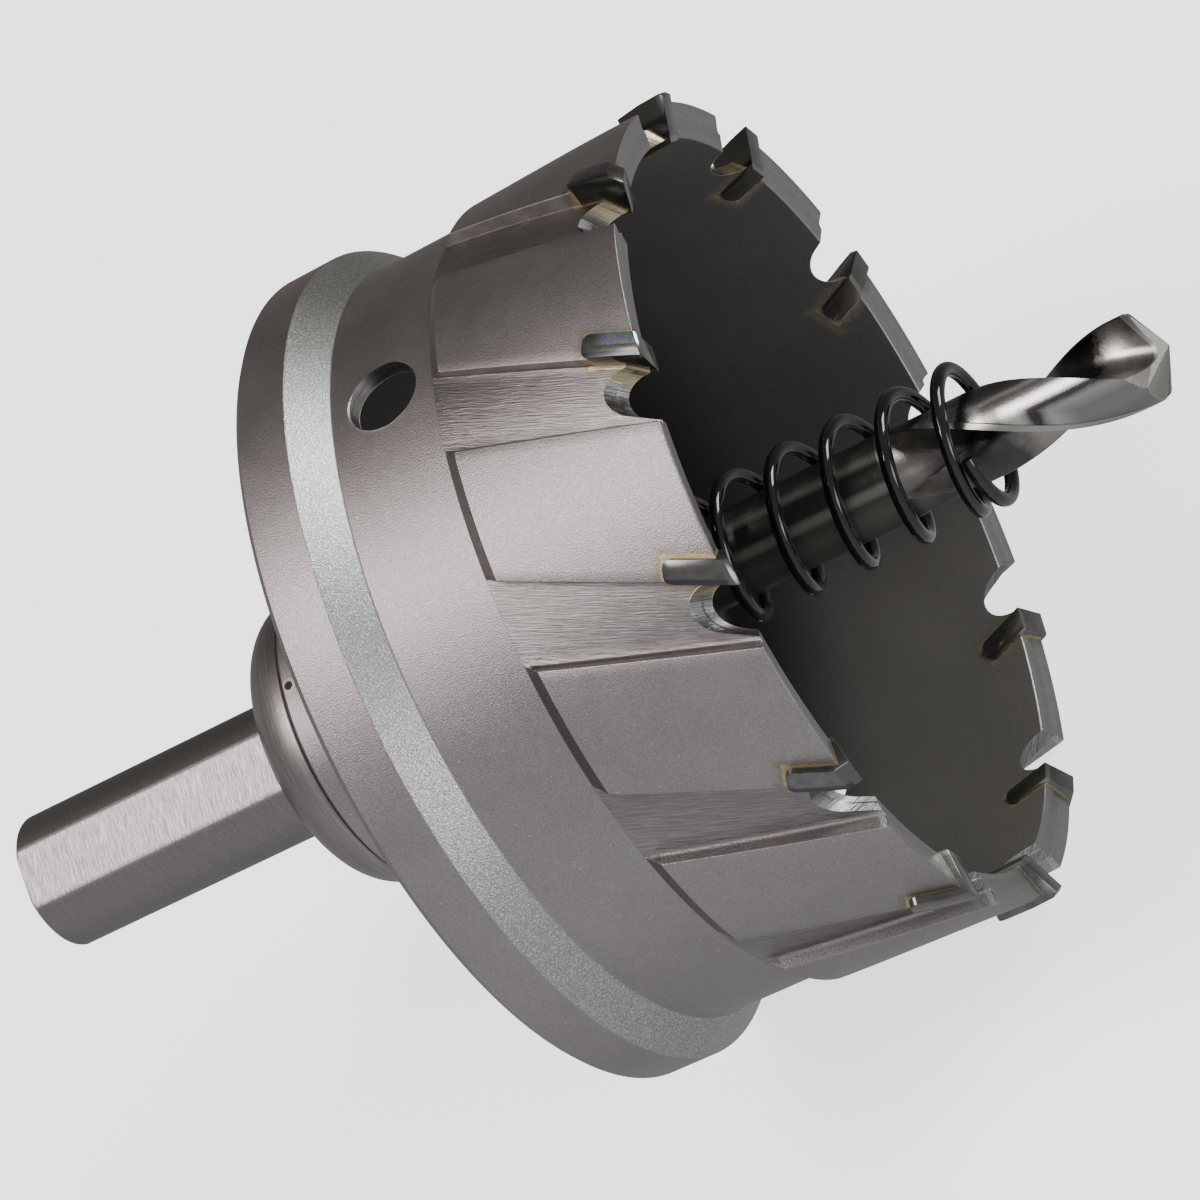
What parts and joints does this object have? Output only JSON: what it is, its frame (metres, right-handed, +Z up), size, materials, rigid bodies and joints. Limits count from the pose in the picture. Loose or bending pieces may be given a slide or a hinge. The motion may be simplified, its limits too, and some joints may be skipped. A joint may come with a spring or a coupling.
{
  "type": "carbide tipped hole cutter",
  "caption": "Carbide tipped hole cutter: flanged cup with inclined flutes, pilot twist drill, ejector spring and three-flat shank.",
  "frame": {"origin": "middle of the bounding box at its base, on the surface that the tool lies on", "axes": "+X runs along the tool from the shank's end to the drill's point, +Z up from that surface"},
  "size_m": [0.1163, 0.0772, 0.0774],
  "materials": {
    "cup_steel": "bead-blasted satin",
    "arbor_steel": "turned satin",
    "drill_steel": "ground bright",
    "spring_steel": "gloss black",
    "screw_steel": "black oxide",
    "carbide": "ground carbide",
    "braze": "as brazed"
  },
  "bodies": {
    "root": {"cup_body": "cup_steel", "arbor": "arbor_steel", "pilot_drill": "drill_steel", "ejector_spring": "spring_steel", "drill_set_screw": "screw_steel", "carbide_tip_01": "carbide", "carbide_tip_02": "carbide", "carbide_tip_03": "carbide", "carbide_tip_04": "carbide", "carbide_tip_05": "carbide", "carbide_tip_06": "carbide", "carbide_tip_07": "carbide", "carbide_tip_08": "carbide", "carbide_tip_09": "carbide", "carbide_tip_10": "carbide", "carbide_tip_11": "carbide", "carbide_tip_12": "carbide", "braze_seam_01": "braze", "braze_seam_02": "braze", "braze_seam_03": "braze", "braze_seam_04": "braze", "braze_seam_05": "braze", "braze_seam_06": "braze", "braze_seam_07": "braze", "braze_seam_08": "braze", "braze_seam_09": "braze", "braze_seam_10": "braze", "braze_seam_11": "braze", "braze_seam_12": "braze"}
  },
  "joints": []
}
